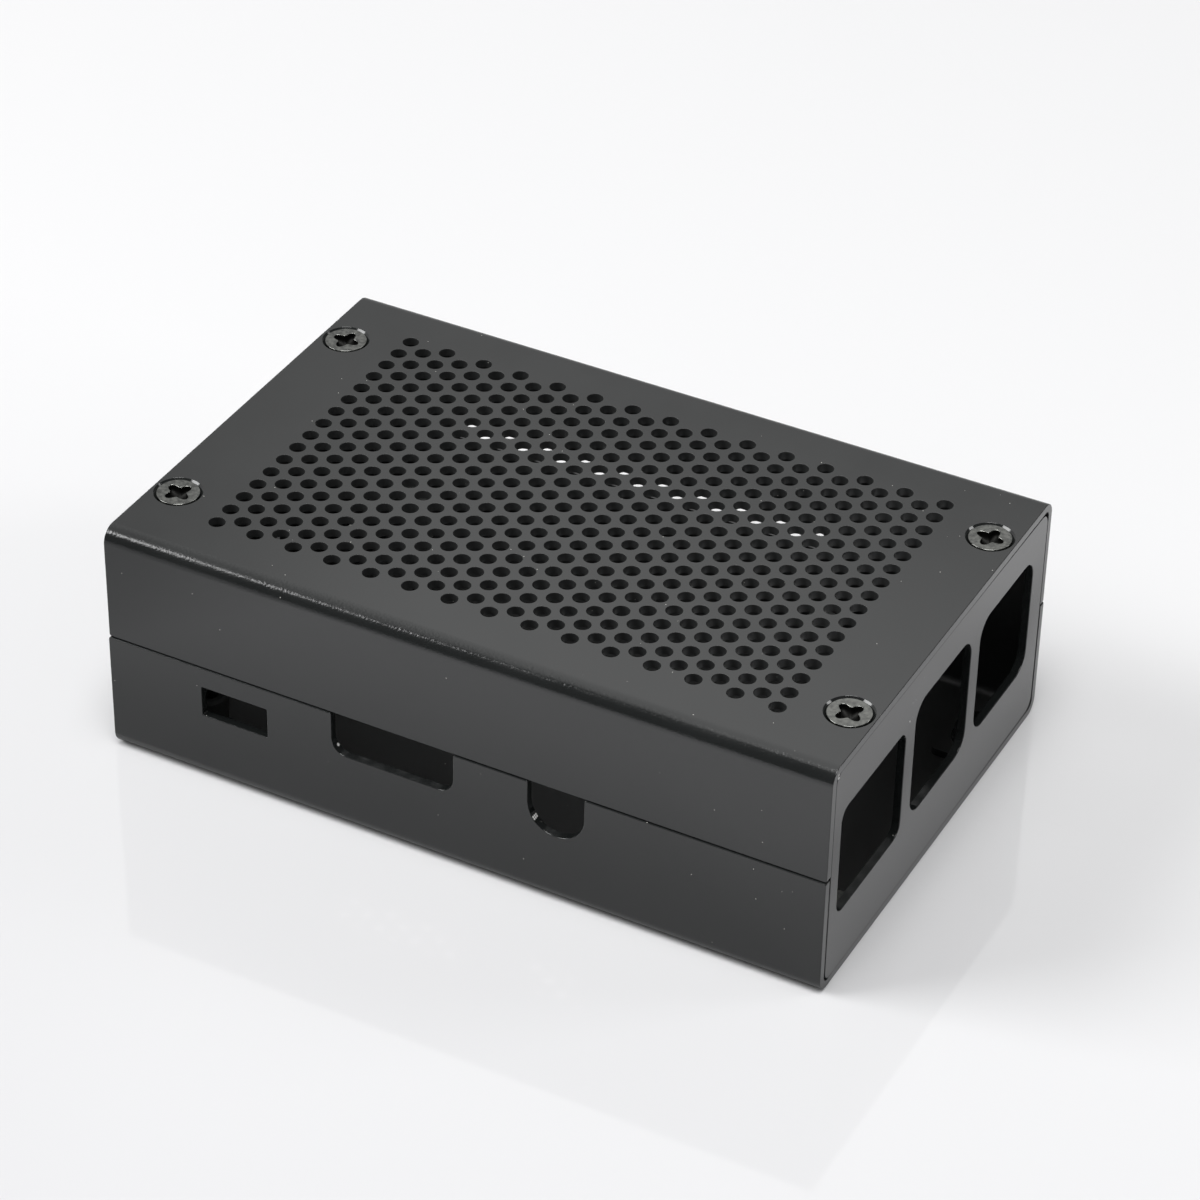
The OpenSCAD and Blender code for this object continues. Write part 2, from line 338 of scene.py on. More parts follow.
def sheet_patches(outline, openings, breaks, place, punched=()):
    """A sheet with its outer and inner face, made stretch by stretch between the breaks, and its edges.
    outline and each opening or punched hole are points, normals and the profile of their edge. Punched
    walls and the inner face are matt."""
    patches = []
    for loop in [outline, *openings]:
        patches += loft(*loop, place)
    for loop in punched:
        patches += worked(loft(*loop, place), MATT)
    loops = [outline, *openings, *punched]
    for row, rise, lift in ((0, 0, 1), (-1, -SHEET, -1)):
        border, *rims = [points + profile[row][row, 0] * normals for points, normals, profile in loops]
        middles = [rim[:, 1].mean() for rim in rims]
        for low, high in zip(breaks[:-1], breaks[1:]):
            inside = (border[:, 1] > low - TINY) & (border[:, 1] < high + TINY)
            holes = [rim for rim, middle in zip(rims, middles) if low < middle < high]
            bent = FOLDED if high - low < FOLD_RADIUS else 0
            face = flat_patch(border[inside], holes, place, rise, lift)
            patches += worked([face], bent if lift > 0 else MATT)
    return patches


def folded_outline(fold, front_notches, back_notches):
    """Outline of a flat sheet with notches in its two free edges, each (low x, high x, depth, corner
    radius), and a point at every break on its two ends."""
    sides, far = fold.breaks[1:-1], fold.total
    corners = [(-END_X, 0, FREE_CORNER)]
    for low, high, depth, radius in front_notches:
        corners += [(low, 0, SEAM_CORNER), (low, depth, radius)]
        corners += [(high, depth, radius), (high, 0, SEAM_CORNER)]
    corners.append((END_X, 0, FREE_CORNER))
    corners += [(END_X, s, 0) for s in sides]
    corners.append((END_X, far, FREE_CORNER))
    for low, high, depth, radius in back_notches:
        corners += [(high, far, SEAM_CORNER), (high, far - depth, radius)]
        corners += [(low, far - depth, radius), (low, far, SEAM_CORNER)]
    corners.append((-END_X, far, FREE_CORNER))
    corners += [(-END_X, s, 0) for s in sides[::-1]]
    corners = np.array(corners)
    return rounded_outline(corners[:, :2], corners[:, 2])


def at_screws(ends=(-1, 1)):
    """Places of the screw axes, front and back at each end."""
    return [(end * SCREW_X, side * SCREW_Y) for end in ends for side in (-1, 1)]


def screw_holes(fold):
    """The four countersunk holes in the floor of a folded sheet."""
    return [(*round_opening((x, fold.floor_s(y)), SINK_D / 2), countersunk_edge())
            for x, y in at_screws()]


# Pieces

RIBBON_CENTRE = BOARD_END + 32.5
RIBBON_LENGTH = 52.0
RIBBON_CORNER = 0.3
RIBBON_LOW, RIBBON_HIGH = RIBBON_CENTRE - RIBBON_LENGTH / 2, RIBBON_CENTRE + RIBBON_LENGTH / 2
RIBBON_TRAY_DEPTH = 2.0
RIBBON_COVER_DEPTH = 0.6


def top_cover(material):
    """Folded cover: staggered round holes, every other column half a pitch on, and screw holes."""
    fold = Fold(COVER_HIGH[1] - COVER_LOW[1], TOP_Z - COVER_LOW[2], TOP_Z, -1)
    ribbon = [(RIBBON_LOW, RIBBON_HIGH, RIBBON_COVER_DEPTH, RIBBON_CORNER)]
    column, row = np.meshgrid(np.arange(COLUMNS), np.arange(ROWS), indexing="ij")
    odd = column % 2
    x = (column - (COLUMNS - 1) / 2) * HOLE_PITCH * math.sqrt(3) / 2
    y = (row + odd / 2 - (ROWS - 1) / 2) * HOLE_PITCH + GRILLE_SET_BACK
    centres = np.stack([x, fold.floor_s(y)], -1)[row < ROWS - odd]
    grille = [(*round_opening(c, HOLE_D / 2, HOLE_SIDES), punched_edge()) for c in centres]
    outline = (*folded_outline(fold, [], ribbon), cut_edge())
    patches = sheet_patches(outline, screw_holes(fold), fold.breaks, fold.place, grille)
    piece("top_cover_sheet", patches, material, "black_aluminium", "top_cover")


POWER_CENTRE = BOARD_END + 10.6
POWER_WIDTH = 9.0
POWER_SILL = BOARD_TOP - 0.55
POWER_HEIGHT = 4.1
DISPLAY_CENTRE = BOARD_END + 32
DISPLAY_WIDTH = 16.2
DISPLAY_SILL = BOARD_TOP + 0.65
DISPLAY_CORNER = 2.0
SOUND_CENTRE = BOARD_END + 53.5
SOUND_WIDTH = 7.3
SOUND_SILL = BOARD_TOP + 3.35 - SOUND_WIDTH / 2
STANDOFFS = ["standoff_front_left", "standoff_front_right", "standoff_back_left", "standoff_back_right"]
SPIGOT_D = 3.8


def standoff_centre(node):
    """Axis of a standoff."""
    low, high = box_mm(node)
    return (low[:2] + high[:2]) / 2


def bottom_tray(material):
    """Folded tray: two slots open to the seam and a window in front, a ribbon slot at the back, and round
    holes for screws and standoffs in the floor."""
    fold = Fold(TRAY_HIGH[1] - TRAY_LOW[1], SEAM_Z, TRAY_LOW[2], 1)
    slots = []
    for centre, width, sill, corner in (
            (DISPLAY_CENTRE, DISPLAY_WIDTH, DISPLAY_SILL, DISPLAY_CORNER),
            (SOUND_CENTRE, SOUND_WIDTH, SOUND_SILL, SOUND_WIDTH / 2)):
        slots.append((centre - width / 2, centre + width / 2, SEAM_Z - sill, corner))
    ribbon = [(RIBBON_LOW, RIBBON_HIGH, RIBBON_TRAY_DEPTH, RIBBON_CORNER)]
    window_top = SEAM_Z - POWER_SILL - POWER_HEIGHT
    window = rectangle(POWER_CENTRE - POWER_WIDTH / 2, POWER_CENTRE + POWER_WIDTH / 2,
                       window_top, window_top + POWER_HEIGHT)
    openings = [(*opening(window, WINDOW_CORNER), cut_edge()), *screw_holes(fold)]
    for node in STANDOFFS:
        x, y = standoff_centre(node)
        openings.append((*round_opening((x, fold.floor_s(y)), SPIGOT_D / 2 + THREAD_GAP), cut_edge()))
    outline = (*folded_outline(fold, slots, ribbon), cut_edge())
    patches = sheet_patches(outline, openings, fold.breaks, fold.place)
    piece("bottom_tray_sheet", patches, material, "black_aluminium", "bottom_tray")


def thread_patch(centre_place, radius, start, end, looks_in):
    """A thread's flank: radius less the thread depth times a wave of rise over pitch less turns, which
    dies away at both ends."""
    low, high = min(start, end), max(start, end)
    rows = int(round((high - low) / THREAD_PITCH * THREAD_ROWS)) + 1
    rise = np.linspace(start, end, rows)[:, None]
    spoke = spokes(ROUND_SIDES)
    turns = np.arange(ROUND_SIDES)[None] / ROUND_SIDES
    wave = 0.5 - 0.5 * np.cos(2 * math.pi * (rise / THREAD_PITCH - turns))
    fade = np.clip(np.minimum(rise - low, high - rise) / (THREAD_PITCH / 2), 0, 1)
    out = radius - THREAD_DEPTH * wave * fade
    flat = out[..., None] * spoke[None]
    level = np.broadcast_to(rise, out.shape)
    looks = np.broadcast_to(spoke[None], flat.shape)
    points, radial = centre_place(flat, level, looks, np.zeros(out.shape))
    normals = grid_normals(points)
    facing = -1 if looks_in else 1
    normals *= np.sign((normals * radial).sum()) * facing
    return grid_patch(points, normals)


TAB_WIDTH = 9.0
TAB_LENGTH = 7.0
TAB_CORNER = 0.8
TAB_SUNK = 0.5
COLLAR_D = 4.6
COLLAR_HEIGHT = 1.6
COLLAR_FILLET = 0.4
COLLAR_RIM = 0.15


def tab_patches(end, x, y, z, up):
    """A screw tab: a small sheet with a collar drawn from it, whose profile runs from the countersunk
    mouth up the threaded bore, over the rim and down a fillet to the tab."""
    place = flat_place((0, 0, z), (1, 0, 0), (0, 1, 0), (0, 0, up))
    tip, root = end * (END_X - TAB_LENGTH), end * (END_X - SHEET + TAB_SUNK)
    low, high = min(tip, root), max(tip, root)
    left, right = (TAB_CORNER, SEAM_CORNER) if end > 0 else (SEAM_CORNER, TAB_CORNER)
    outline = rounded_outline(rectangle(low, high, y - TAB_WIDTH / 2, y + TAB_WIDTH / 2),
                              [left, right, right, left])
    bore, collar = SCREW_D / 2, COLLAR_D / 2
    mouth = SINK_D / 2 - SHEET
    crown = -SHEET - COLLAR_HEIGHT
    cone_end = bore - mouth
    axis_place = flat_place((x, y, z), (1, 0, 0), (0, 1, 0), (0, 0, up))
    profile = [straight((-mouth, 0), (-bore, cone_end)),
               arc((-bore - COLLAR_RIM, crown + COLLAR_RIM), COLLAR_RIM, 0, -90),
               straight((-bore - COLLAR_RIM, crown), (-collar + COLLAR_RIM, crown)),
               arc((-collar + COLLAR_RIM, crown + COLLAR_RIM), COLLAR_RIM, -90, -180),
               straight((-collar, crown + COLLAR_RIM), (-collar, -SHEET - COLLAR_FILLET)),
               arc((-collar - COLLAR_FILLET, -SHEET - COLLAR_FILLET), COLLAR_FILLET, 0, 90)]
    hole = (*round_opening((x, y), 0), profile)
    patches = sheet_patches((*outline, cut_edge()), [hole], [-SIDE_Y, SIDE_Y], place)
    patches.append(thread_patch(axis_place, bore, cone_end, crown + COLLAR_RIM, True))
    return patches


PLATE_CORNER = 1.3
PLATE_BACK_CORNER = 1.8
SLACK_FROM = 2.0
SLACK = 0.2
NETWORK_CENTRE = BOARD_FRONT + 10.25
NETWORK_WIDTH = 16.9
NETWORK_HEIGHT = 14.85
NETWORK_SILL = BOARD_TOP - 0.7
NETWORK_CORNER = 1.6
SERIAL_CENTRES = (BOARD_FRONT + 29, BOARD_FRONT + 47)
SERIAL_WIDTH = 15.5
SERIAL_HEIGHT = 16.1
SERIAL_SILL = BOARD_TOP - 0.4
SERIAL_CORNER = 2.6
CARD_CENTRE = BOARD_FRONT + 28
CARD_WIDTH = 14.0
CARD_HEIGHT = 5.0
CARD_TOP = BOARD_UNDER + 1
CARD_CORNER = 1.0


def plate_outline():
    """A rectangle whose upper and lower edges slope in a little towards the back, with rounder corners
    there."""
    low_y, low_z, high_y, high_z = *PLATE_LOW[1:], *PLATE_HIGH[1:]
    corners = [(low_y, low_z), (SLACK_FROM, low_z), (high_y, low_z + SLACK),
               (high_y, high_z - SLACK), (SLACK_FROM, high_z), (low_y, high_z)]
    front, back = PLATE_CORNER, PLATE_BACK_CORNER
    return rounded_outline(corners, [front, 0, back, back, 0, front])


def end_plate(name, node, material, end, openings):
    """A flat plate at one end with four screw tabs folded in; openings are outlines in y and height."""
    place = flat_place((end * END_X, 0, 0), (0, 1, 0), (0, 0, 1), (end, 0, 0))
    outline = plate_outline()
    cuts = [(*opening(corners, radius), cut_edge()) for corners, radius in openings]
    patches = sheet_patches((*outline, cut_edge()), cuts, [PLATE_LOW[2], PLATE_HIGH[2]], place)
    for x, y in at_screws((end,)):
        patches += tab_patches(end, x, y, PLATE_LOW[2], -1)
        patches += tab_patches(end, x, y, PLATE_HIGH[2], 1)
    piece(name, patches, material, "black_aluminium", node)


def end_plates(material):
    """The plate with the network and serial openings, and the plate with the memory card slot."""
    ports = [(NETWORK_CENTRE, NETWORK_WIDTH, NETWORK_SILL, NETWORK_HEIGHT, NETWORK_CORNER)]
    for centre in SERIAL_CENTRES:
        ports.append((centre, SERIAL_WIDTH, SERIAL_SILL, SERIAL_HEIGHT, SERIAL_CORNER))
    card = [(CARD_CENTRE, CARD_WIDTH, CARD_TOP - CARD_HEIGHT, CARD_HEIGHT, CARD_CORNER)]
    for name, node, end, cuts in (("port_end_sheet", "port_end_plate", 1, ports),
                                  ("card_end_sheet", "card_end_plate", -1, card)):
        outlines = [(rectangle(centre - width / 2, centre + width / 2, sill, sill + height), corner)
                    for centre, width, sill, height, corner in cuts]
        end_plate(name, node, material, end, outlines)


SCREW_LENGTH = 5.0
HEAD_SEAT = 0.03
HEAD_LAND = (SINK_D - HEAD_D) / 2 - HEAD_SEAT - (TOP_Z - COVER_SCREWS_HIGH[2])
HEAD_ROUND = 0.08
TIP_CHAMFER = 0.35
RECESS_TIP = 1.75
RECESS_WAIST = 0.95
RECESS_DEPTH = 1.25
RECESS_FLOOR = 0.2
RECESS_RIM = 0.09
RIM_ROWS = 3
RECESS_ROWS = 9
RECESS_SIDES = 72


def recess_rings(turn_degrees):
    """The cross recess: a four-armed star whose radius goes from waist to tip with the square of the
    cosine of twice the angle. A small quarter round leads in from the face, and below it the arms draw in
    with the fourth power of the depth, steep first, to a small round floor."""
    bend = np.linspace(0, RIGHT_ANGLE, RIM_ROWS + 1)[:, None]
    share = np.linspace(0, 1, RECESS_ROWS)[1:, None]
    angle = np.arange(RECESS_SIDES)[None] * 2 * math.pi / RECESS_SIDES
    star = RECESS_WAIST + (RECESS_TIP - RECESS_WAIST) * np.cos(2 * angle) ** 2
    rim = star + RECESS_RIM * (1 - np.sin(bend))
    wall = RECESS_FLOOR + (star - RECESS_FLOOR) * (1 - share ** 4)
    radius = np.concatenate([rim, wall])
    rim_level = RECESS_RIM * (np.cos(bend) - 1)
    wall_level = (RECESS_RIM - RECESS_DEPTH) * share - RECESS_RIM
    level = np.concatenate([rim_level, wall_level])
    turned = angle + math.radians(turn_degrees)
    flat = np.stack([radius * np.cos(turned), radius * np.sin(turned)], -1)
    return flat, np.broadcast_to(level, radius.shape)


def screw_patches(centre, z, up, turn_degrees):
    """A countersunk screw seen from its head: flat with a cross recess, upright edge, cone, thread and
    chamfered tip."""
    place = flat_place((*centre, z), (1, 0, 0), (0, 1, 0), (0, 0, up))
    head, shank = HEAD_D / 2, SCREW_D / 2 - THREAD_GAP
    zero, spoke = np.zeros((ROUND_SIDES, 2)), spokes(ROUND_SIDES)
    face = head - HEAD_ROUND
    cone_end = -HEAD_LAND - (head - shank)
    tip = shank - TIP_CHAMFER
    profile = [arc((face, -HEAD_ROUND), HEAD_ROUND, 90, 0, steps=3),
               straight((head, -HEAD_ROUND), (head, -HEAD_LAND)),
               straight((head, -HEAD_LAND), (shank, cone_end)),
               straight((shank, TIP_CHAMFER - SCREW_LENGTH), (tip, -SCREW_LENGTH))]
    patches = loft(zero, spoke, profile, place)
    patches.append(thread_patch(place, shank, cone_end, TIP_CHAMFER - SCREW_LENGTH, False))
    recess, level = recess_rings(turn_degrees)
    points, _ = place(recess, level, np.zeros_like(recess), np.zeros(level.shape))
    normals = grid_normals(points)
    normals *= np.sign(normals[0, 0] @ (points[0].mean(0) - points[0, 0]))
    rim, wall = slice(RIM_ROWS + 1), slice(RIM_ROWS, None)
    patches.append(grid_patch(points[rim], normals[rim]))
    # The recess walls and floor are marked as worked; the screw material paints them dark, as painted shade
    patches += worked([grid_patch(points[wall], normals[wall]),
                       flat_patch(recess[-1], [], place, -RECESS_DEPTH, 1)], FOLDED)
    patches.append(flat_patch(face * spoke, [recess[0, ::-1]], place, 0, 1))
    patches.append(flat_patch(tip * spoke, [], place, -SCREW_LENGTH, -1))
    return patches


COVER_SCREW_TURNS = {(-1, -1): 65, (-1, 1): 85, (1, -1): 58, (1, 1): 80}
TRAY_SCREW_TURNS = {(-1, -1): 20, (-1, 1): 51, (1, -1): 74, (1, 1): 7}


def case_screws(material):
    """Four screws in the cover and four under the tray, each turned its own way."""
    for name, node, z, up, turns in (
            ("cover_screw_set", "cover_screws", COVER_SCREWS_HIGH[2], 1, COVER_SCREW_TURNS),
            ("tray_screw_set", "tray_screws", TRAY_SCREWS_LOW[2], -1, TRAY_SCREW_TURNS)):
        patches = []
        for (sx, sy), turn in turns.items():
            patches += screw_patches((sx * SCREW_X, sy * SCREW_Y), z, up, turn)
        piece(name, patches, material, "screw_steel", node)


STANDOFF_CHAMFER = 0.3
STANDOFF_THREAD_D = 2.5
STANDOFF_THREAD_DEPTH = 6.0


def standoffs(material):
    """Four turned standoffs: bore, chamfered top, body, shoulder on the floor and spigot through it."""
    for node in STANDOFFS:
        low, high = box_mm(node)
        top, body = high[2], (high[0] - low[0]) / 2
        bore, spigot, cut = STANDOFF_THREAD_D / 2, SPIGOT_D / 2, STANDOFF_CHAMFER
        floor = top - STANDOFF_THREAD_DEPTH
        place = flat_place((*standoff_centre(node), 0), (1, 0, 0), (0, 1, 0), (0, 0, 1))
        zero, spoke = np.zeros((ROUND_SIDES, 2)), spokes(ROUND_SIDES)
        profile = [straight((bore, top - cut), (bore + cut, top)),
                   straight((bore + cut, top), (body - cut, top)),
                   straight((body - cut, top), (body, top - cut)),
                   straight((body, top - cut), (body, SHEET)),
                   straight((body, SHEET), (spigot, SHEET)),
                   straight((spigot, SHEET), (spigot, 0))]
        patches = loft(zero, spoke, profile, place)
        patches.append(thread_patch(place, bore, floor, top - cut, True))
        patches.append(flat_patch(bore * spoke, [], place, floor, 1))
        patches.append(flat_patch(spigot * spoke, [], place, 0, -1))
        piece("turned_" + node, patches, material, "standoff_steel", node)


# Materials

# Sizes of the patterns, in millimetres; the real grain is too fine to show, so it is drawn coarser
CLOUD_SIZE = 9.0
GRAIN_SIZE = 0.28
GRAIN_HEIGHT = 0.1
DUST_APART = 2.2
DUST_RADIUS = 0.085
SCUFF_SIZE = 0.5
OXIDE_SIZE = 0.8
# Most values of a noise pattern lie in the wider range; the narrower one parts scuffs from plain metal
NOISE_LOW, NOISE_HIGH = 0.3, 0.7
SCUFF_LOW, SCUFF_HIGH = 0.35, 0.65
# Each dust grain, pale spot and painted glint covers all within this share of its radius, and fades from
# there
FULL_SHARE = 0.6
# Anodised sheet: its roughness, what matt faces and folds add to it, and the strength of its grain
SATIN_LOW, SATIN_HIGH = 0.10, 0.14
MATT_MORE, FOLD_MORE = 0.4, 0.03
GRAIN_FLAT, GRAIN_FOLDED = 0.02, 0.22
ANODISED_IOR = 1.7
# Screws and standoffs: roughness of the heads, the recesses and the oxide skin
ZINC_LOW, ZINC_HIGH = 0.12, 0.22
RECESS_ROUGHNESS = 0.55
OXIDE_LOW, OXIDE_HIGH = 0.55, 0.7
OXIDE_METALLIC = 0.3
# Pale spots and painted glints, as places and radii in millimetres: two pale spots at a corner of the end
# plate, a dust speck at an opening of it, and a painted glint at a corner of the display slot, a painted
# highlight where its cut wall mirrors the bright room through the port end
PALE_SPOTS_AND_PAINTED_GLINTS = [((END_X, -28.8, 29.95), 0.2), ((END_X, -28.82, 30.3), 0.24),
              ((END_X, -9.54, 24.79), 0.14), ((-15.98, -29.7, 11.3), 0.25)]
# Painted glint in the wall of the sound slot, a painted highlight where the wall mirrors the bright room
# through the port end: stripes at three depths, and two places along the curve for each
GLINT_STRIPE_RADIUS = 0.17
for glint_stripe_y in (-30.28, -29.97, -29.66):
    PALE_SPOTS_AND_PAINTED_GLINTS.append(((10.21, glint_stripe_y, 11.16), GLINT_STRIPE_RADIUS))
    PALE_SPOTS_AND_PAINTED_GLINTS.append(((10.36, glint_stripe_y, 10.95), GLINT_STRIPE_RADIUS))


def linear(hex_colour):
    """An sRGB hex colour as linear red, green, blue and alpha."""
    srgb = np.array([int(hex_colour[i:i + 2], 16) for i in (1, 3, 5)]) / 255
    light = np.where(srgb <= 0.04045, srgb / 12.92, ((srgb + 0.055) / 1.055) ** 2.4)
    return (*light.tolist(), 1.0)


def add_node(tree, kind, inputs=None, **settings):
    """Adds a node with its settings; each input is a value, or a socket to link from."""
    new = tree.nodes.new(kind)
    for name, value in settings.items():
        setattr(new, name, value)
    for name, value in (inputs or {}).items():
        if isinstance(value, bpy.types.NodeSocket):
            tree.links.new(value, new.inputs[name])
        else:
            new.inputs[name].default_value = value
    return new


def new_material(name):
    """An empty node material, with its tree, its output and object coordinates in metres."""
    material = bpy.data.materials.new(name)
    material.use_nodes = True
    tree = material.node_tree
    tree.nodes.clear()
    output = add_node(tree, "ShaderNodeOutputMaterial")
    coordinates = add_node(tree, "ShaderNodeTexCoord").outputs["Object"]
    return material, tree, output, coordinates


def per_mm(size_mm):
    """Texture scale at which one feature is this many millimetres, with coordinates in metres."""
    return 1 / (size_mm * MM)


def dust_grains(tree, at):
    """Share of dust at each place: small balls round points scattered in space, cut by the surface."""
    scatter = add_node(tree, "ShaderNodeTexVoronoi", {"Vector": at, "Scale": per_mm(DUST_APART)})
    radius = DUST_RADIUS / DUST_APART
    grains = add_node(tree, "ShaderNodeMapRange", {
        "Value": scatter.outputs["Distance"], "From Min": FULL_SHARE * radius, "From Max": radius,
        "To Min": 1.0, "To Max": 0.0})
    return grains.outputs["Result"]


def pale_spots_and_painted_glints(tree, at):
    """Share of pale colour at each place, each a ball about its place: pale spots and a dust speck on the
    end plate, and painted glints in the walls of the slots.
    """
    share = 0.0
    for place, radius in PALE_SPOTS_AND_PAINTED_GLINTS:
        centre = tuple(value * MM for value in place)
        away = add_node(tree, "ShaderNodeVectorMath", {0: at, 1: centre}, operation="DISTANCE")
        near = add_node(tree, "ShaderNodeMapRange", {
            "Value": away.outputs["Value"], "From Min": FULL_SHARE * radius * MM,
            "From Max": radius * MM, "To Min": 1.0, "To Max": 0.0})
        most = add_node(tree, "ShaderNodeMath", {0: near.outputs["Result"], 1: share},
                        operation="MAXIMUM")
        share = most.outputs[0]
    return share


def black_anodised_aluminium():
    """Rolled sheet, dyed and anodised: a black oxide skin with a satin, slightly uneven gloss and fine
    grain, coarser where the sheet is folded, and matt in punched holes and on inner faces. A few pale dust
    grains lie on it, a few pale spots sit at a corner of the end plate, and painted glints, painted
    highlights, stand in the walls of the display and sound slots."""
    material, tree, output, at = new_material("satin_black_anodised_aluminium")
    mark = add_node(tree, "ShaderNodeAttribute", attribute_name="worked").outputs["Fac"]
    cloud = add_node(tree, "ShaderNodeTexNoise", {
        "Vector": at, "Scale": per_mm(CLOUD_SIZE), "Detail": 4})
    grain = add_node(tree, "ShaderNodeTexNoise", {
        "Vector": at, "Scale": per_mm(GRAIN_SIZE), "Detail": 2})
    tone = add_node(tree, "ShaderNodeMix", {
        "Factor": cloud.outputs["Fac"], "A": linear("#171919"), "B": linear("#1e2020")},
        data_type="RGBA")
    dusted = add_node(tree, "ShaderNodeMix", {
        "Factor": dust_grains(tree, at), "A": tone.outputs["Result"], "B": linear("#b4b3ad")},
        data_type="RGBA")
    # Pale spots, a dust speck and painted glints: the glints in the slot walls are painted highlights where
    # the walls mirror the bright room
    spotted_and_glinting = add_node(tree, "ShaderNodeMix", {
        "Factor": pale_spots_and_painted_glints(tree, at), "A": dusted.outputs["Result"], "B": linear("#f2f2ef")},
        data_type="RGBA")
    satin = add_node(tree, "ShaderNodeMapRange", {
        "Value": cloud.outputs["Fac"], "From Min": NOISE_LOW, "From Max": NOISE_HIGH,
        "To Min": SATIN_LOW, "To Max": SATIN_HIGH})
    dull = add_node(tree, "ShaderNodeMapRange", {
        "Value": mark, "From Min": MATT, "From Max": 0.0, "To Min": MATT_MORE, "To Max": 0.0})
    bent = add_node(tree, "ShaderNodeMapRange", {"Value": mark, "To Min": 0.0, "To Max": FOLD_MORE})
    plain = add_node(tree, "ShaderNodeMath", {
        0: satin.outputs["Result"], 1: dull.outputs["Result"]}, operation="ADD")
    gloss = add_node(tree, "ShaderNodeMath", {
        0: plain.outputs[0], 1: bent.outputs["Result"]}, operation="ADD")
    strength = add_node(tree, "ShaderNodeMapRange", {
        "Value": mark, "To Min": GRAIN_FLAT, "To Max": GRAIN_FOLDED})
    bump = add_node(tree, "ShaderNodeBump", {
        "Height": grain.outputs["Fac"], "Strength": strength.outputs["Result"],
        "Distance": GRAIN_HEIGHT * MM})
    shader = add_node(tree, "ShaderNodeBsdfPrincipled", {
        "Base Color": spotted_and_glinting.outputs["Result"], "Roughness": gloss.outputs[0],
        "IOR": ANODISED_IOR, "Normal": bump.outputs["Normal"]})
    tree.links.new(shader.outputs["BSDF"], output.inputs["Surface"])
    return material


def dark_zinc_steel():
    """Screw steel with a dark zinc plating: grey metal, mottled and scuffed by the driver; its recess is
    painted dark, as painted shade."""
    material, tree, output, at = new_material("dark_zinc_plated_steel")
    mark = add_node(tree, "ShaderNodeAttribute", attribute_name="worked").outputs["Fac"]
    mottle = add_node(tree, "ShaderNodeTexNoise", {
        "Vector": at, "Scale": per_mm(SCUFF_SIZE), "Detail": 5})
    scuffs = add_node(tree, "ShaderNodeMapRange", {
        "Value": mottle.outputs["Fac"], "From Min": SCUFF_LOW, "From Max": SCUFF_HIGH})
    tone = add_node(tree, "ShaderNodeMix", {
        "Factor": scuffs.outputs["Result"], "A": linear("#686967"), "B": linear("#8a8b87")},
        data_type="RGBA")
    # Painted shade: the recess, marked as worked, is painted dark
    painted_recess_shade = add_node(tree, "ShaderNodeMix", {
        "Factor": mark, "A": tone.outputs["Result"], "B": linear("#262625")}, data_type="RGBA")
    gloss = add_node(tree, "ShaderNodeMapRange", {
        "Value": scuffs.outputs["Result"], "To Min": ZINC_LOW, "To Max": ZINC_HIGH})
    dull = add_node(tree, "ShaderNodeMix", {
        "Factor": mark, "A": gloss.outputs["Result"], "B": RECESS_ROUGHNESS}, data_type="FLOAT")
    shader = add_node(tree, "ShaderNodeBsdfPrincipled", {
        "Base Color": painted_recess_shade.outputs["Result"], "Metallic": 1.0, "Roughness": dull.outputs["Result"]})
    tree.links.new(shader.outputs["BSDF"], output.inputs["Surface"])
    return material


def black_oxide_steel():
    """Turned standoffs with a black oxide skin: dark, dull metal, slightly uneven in gloss."""
    material, tree, output, at = new_material("black_oxide_steel")
    cloud = add_node(tree, "ShaderNodeTexNoise", {
        "Vector": at, "Scale": per_mm(OXIDE_SIZE), "Detail": 3})
    gloss = add_node(tree, "ShaderNodeMapRange", {
        "Value": cloud.outputs["Fac"], "From Min": NOISE_LOW, "From Max": NOISE_HIGH,
        "To Min": OXIDE_LOW, "To Max": OXIDE_HIGH})
    shader = add_node(tree, "ShaderNodeBsdfPrincipled", {
        "Base Color": linear("#5d5f5e"), "Metallic": OXIDE_METALLIC,
        "Roughness": gloss.outputs["Result"]})
    tree.links.new(shader.outputs["BSDF"], output.inputs["Surface"])
    return material


# Table: where its tone turns paler, a painted shading that is darker towards the front, and its gloss;
# places in millimetres
TABLE_TONE_FROM, TABLE_TONE_TO = -120.0, 50.0
ACRYLIC_ROUGHNESS = 0.05
ACRYLIC_IOR = 1.5
# Painted shade that only glossy rays see on the table, where the case mirrors it: before the foot of the
# front, to the left and beside the port end
FOOT_SHADE = 0.45
FOOT_SHADE_REACH = 36.0
FOOT_SHADE_END = 4.0
LEFT_SHADE = 0.35
LEFT_SHADE_FROM, LEFT_SHADE_TO = -38.0, -72.0
END_SHADE = 0.22
END_SHADE_FROM, END_SHADE_PEAK, END_SHADE_TO = END_X + 3.5, END_X + 9.0, END_X + 14.0


